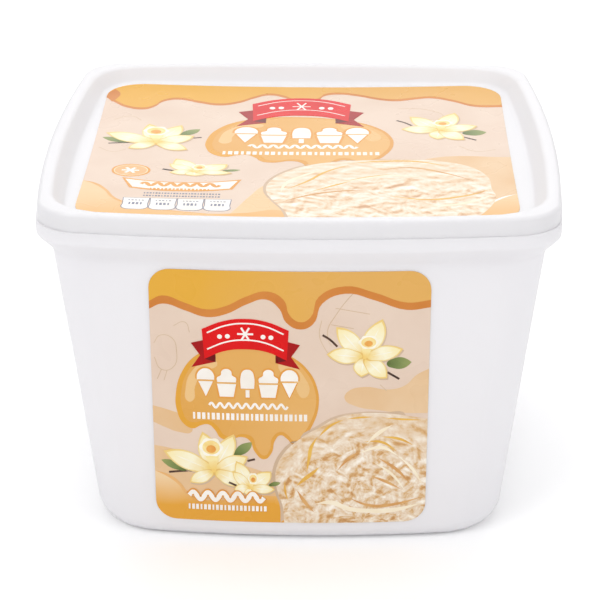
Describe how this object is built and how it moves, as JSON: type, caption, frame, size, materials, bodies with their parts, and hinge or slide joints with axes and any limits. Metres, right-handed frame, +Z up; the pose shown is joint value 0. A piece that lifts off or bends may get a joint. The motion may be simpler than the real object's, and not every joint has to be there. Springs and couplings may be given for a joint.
{
  "type": "ice cream tub",
  "caption": "Square plastic ice cream tub, shut, with bowed tapering walls, a sloping collar, a push-on lid with a sunken panel, and printed film labels.",
  "frame": {"origin": "middle of the pack's box, at the surface that the tub stands on", "axes": "+Z up; the front label faces -Y; +X to the right when the front label is faced"},
  "size_m": [0.24, 0.24, 0.163],
  "materials": {
    "tub_plastic": "white polypropylene, satin",
    "lid_plastic": "white polypropylene, satin",
    "label_film": "printed plastic film, smooth"
  },
  "bodies": {
    "root": {"tub": "tub_plastic", "lid": "lid_plastic", "label_front": "label_film", "label_back": "label_film", "label_lid": "label_film"}
  },
  "joints": []
}
